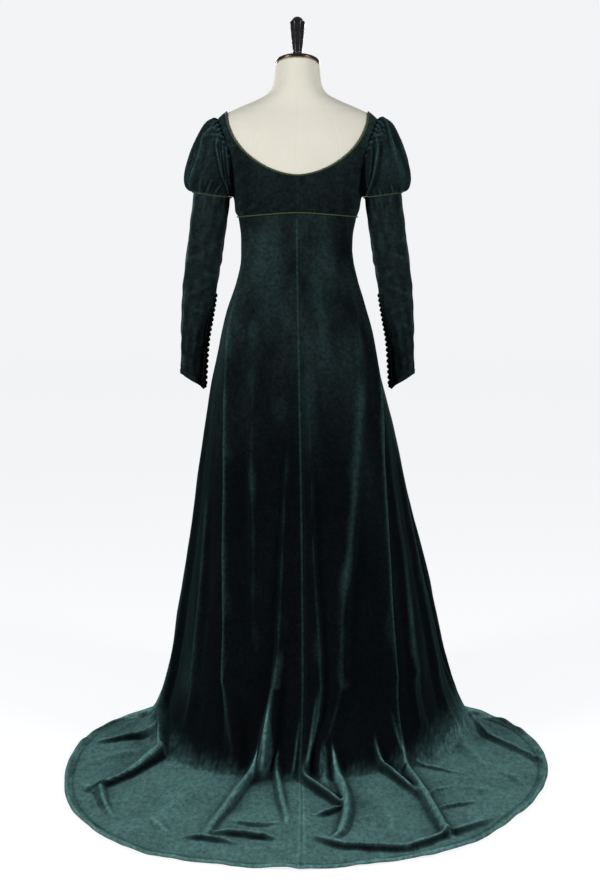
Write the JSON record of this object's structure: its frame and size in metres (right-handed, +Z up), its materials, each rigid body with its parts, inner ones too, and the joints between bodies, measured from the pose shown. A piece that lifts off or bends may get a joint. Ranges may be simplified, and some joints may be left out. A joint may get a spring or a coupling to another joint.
{
  "type": "renaissance gown on dress form",
  "caption": "Long velvet gown with scooped back, empire seam, puffed sleeves, buttoned forearms and round train, worn by a limbless dress form on a stand.",
  "frame": {"origin": "centre of the stand's base where it meets the floor", "axes": "+Z up, +Y the way the gown's front faces, so the train runs towards -Y; +X is the wearer's right"},
  "size_m": [1.0164, 1.344, 1.5884],
  "materials": {
    "velvet": "deep green stretch velvet, short nap",
    "piping": "olive green braided cord",
    "linen": "plain cream linen, pulled smooth",
    "lacquer": "gloss black",
    "collar": "polished",
    "brass": "satin",
    "steel": "satin black paint"
  },
  "bodies": {
    "root": {"form_torso": "linen", "form_neck_ring": "brass", "form_neck_cap": "lacquer", "form_finial_collar": "collar", "form_finial": "lacquer", "stand_pole": "steel", "stand_base": "steel", "bodice_back": "velvet", "bodice_front": "velvet", "skirt_back_left": "velvet", "skirt_back_right": "velvet", "skirt_front": "velvet", "neck_piping": "piping", "waist_piping": "piping", "puff_left": "velvet", "sleeve_left": "velvet", "band_piping_left": "piping", "loop_tape_left": "velvet", "button_left_01": "velvet", "button_left_02": "velvet", "button_left_03": "velvet", "button_left_04": "velvet", "button_left_05": "velvet", "button_left_06": "velvet", "button_left_07": "velvet", "button_left_08": "velvet", "button_left_09": "velvet", "button_left_10": "velvet", "button_left_11": "velvet", "button_left_12": "velvet", "button_left_13": "velvet", "button_left_14": "velvet", "button_left_15": "velvet", "button_left_16": "velvet", "button_left_17": "velvet", "button_left_18": "velvet", "puff_right": "velvet", "sleeve_right": "velvet", "band_piping_right": "piping", "loop_tape_right": "velvet", "button_right_01": "velvet", "button_right_02": "velvet", "button_right_03": "velvet", "button_right_04": "velvet", "button_right_05": "velvet", "button_right_06": "velvet", "button_right_07": "velvet", "button_right_08": "velvet", "button_right_09": "velvet", "button_right_10": "velvet", "button_right_11": "velvet", "button_right_12": "velvet", "button_right_13": "velvet", "button_right_14": "velvet", "button_right_15": "velvet", "button_right_16": "velvet", "button_right_17": "velvet", "button_right_18": "velvet"}
  },
  "joints": []
}
